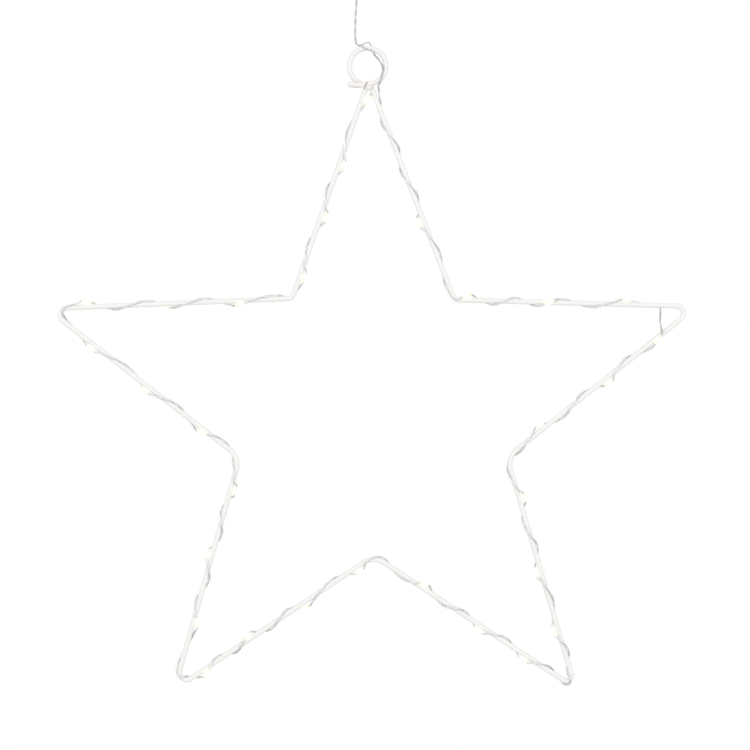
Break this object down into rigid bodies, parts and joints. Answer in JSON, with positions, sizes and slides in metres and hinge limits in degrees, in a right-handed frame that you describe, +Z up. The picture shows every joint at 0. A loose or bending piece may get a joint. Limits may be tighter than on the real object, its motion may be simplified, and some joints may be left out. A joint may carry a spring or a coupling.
{
  "type": "led wire star light",
  "caption": "Open wire star with a hanging ring, wound with a wire string of small light drops and hung by its lead from a battery case with sliding cover and switch.",
  "frame": {"origin": "middle of the battery case's flat back, which is fixed to a wall or window frame", "axes": "+Z up, -Y the front that faces the viewer, +X to the viewer's right"},
  "size_m": [0.303, 0.0206, 0.4321],
  "materials": {
    "white_coat": "satin white powder coat on steel wire",
    "silver_wire": "bright silver-coloured enamelled copper pair",
    "clear_resin": "clear glossy resin drop over a warm white LED",
    "white_plastic": "fine matt moulded plastic",
    "grey_plastic": "matt moulded plastic",
    "soft_white": "soft matt moulding",
    "cell_jacket": "satin plain metal jacket",
    "nickel": "bright nickel plate",
    "board_green": "green solder mask",
    "dark_epoxy": "matt epoxy",
    "tan_ceramic": "lacquered ceramic",
    "zinc_steel": "bright zinc plate"
  },
  "bodies": {
    "case": {"battery_case": "white_plastic", "circuit_cover": "white_plastic", "circuit_screw_left": "zinc_steel", "circuit_screw_right": "zinc_steel", "cell_left": "cell_jacket", "cell_right": "cell_jacket", "positive_contact": "nickel", "negative_contact": "nickel", "link_contact": "nickel", "spring_left": "nickel", "spring_right": "nickel", "circuit_board": "board_green", "timer_chip": "dark_epoxy", "series_resistor": "tan_ceramic", "switch_body": "nickel", "lead_grommet": "soft_white", "lead_inner": "silver_wire"},
    "cover": {"battery_cover": "white_plastic"},
    "knob": {"switch_knob": "grey_plastic"},
    "lead": {"lead": "silver_wire"},
    "star": {"star_frame": "white_coat", "light_string": "silver_wire", "led_drop_01": "clear_resin", "led_drop_02": "clear_resin", "led_drop_03": "clear_resin", "led_drop_04": "clear_resin", "led_drop_05": "clear_resin", "led_drop_06": "clear_resin", "led_drop_07": "clear_resin", "led_drop_08": "clear_resin", "led_drop_09": "clear_resin", "led_drop_10": "clear_resin", "led_drop_11": "clear_resin", "led_drop_12": "clear_resin", "led_drop_13": "clear_resin", "led_drop_14": "clear_resin", "led_drop_15": "clear_resin", "led_drop_16": "clear_resin", "led_drop_17": "clear_resin", "led_drop_18": "clear_resin", "led_drop_19": "clear_resin", "led_drop_20": "clear_resin", "led_drop_21": "clear_resin", "led_drop_22": "clear_resin", "led_drop_23": "clear_resin", "led_drop_24": "clear_resin", "led_drop_25": "clear_resin", "led_drop_26": "clear_resin", "led_drop_27": "clear_resin", "led_drop_28": "clear_resin", "led_drop_29": "clear_resin", "led_drop_30": "clear_resin"}
  },
  "joints": [
    {"name": "lead_swing", "type": "hinge", "parent": "case", "child": "lead", "pos_m": [0, -0.009, -0.0483], "axis": [1, 0, 0], "range_deg": [-25, 25]},
    {"name": "star_turn", "type": "hinge", "parent": "lead", "child": "star", "pos_m": [-0.0012, -0.009, -0.07945], "axis": [0, 0, 1], "range_deg": [-180, 180]},
    {"name": "cover_slide", "type": "slide", "parent": "case", "child": "cover", "axis": [0, 0, 1], "range_m": [0, 0.044]},
    {"name": "switch_slide", "type": "slide", "parent": "case", "child": "knob", "axis": [1, 0, 0], "range_m": [0, 0.004]}
  ]
}
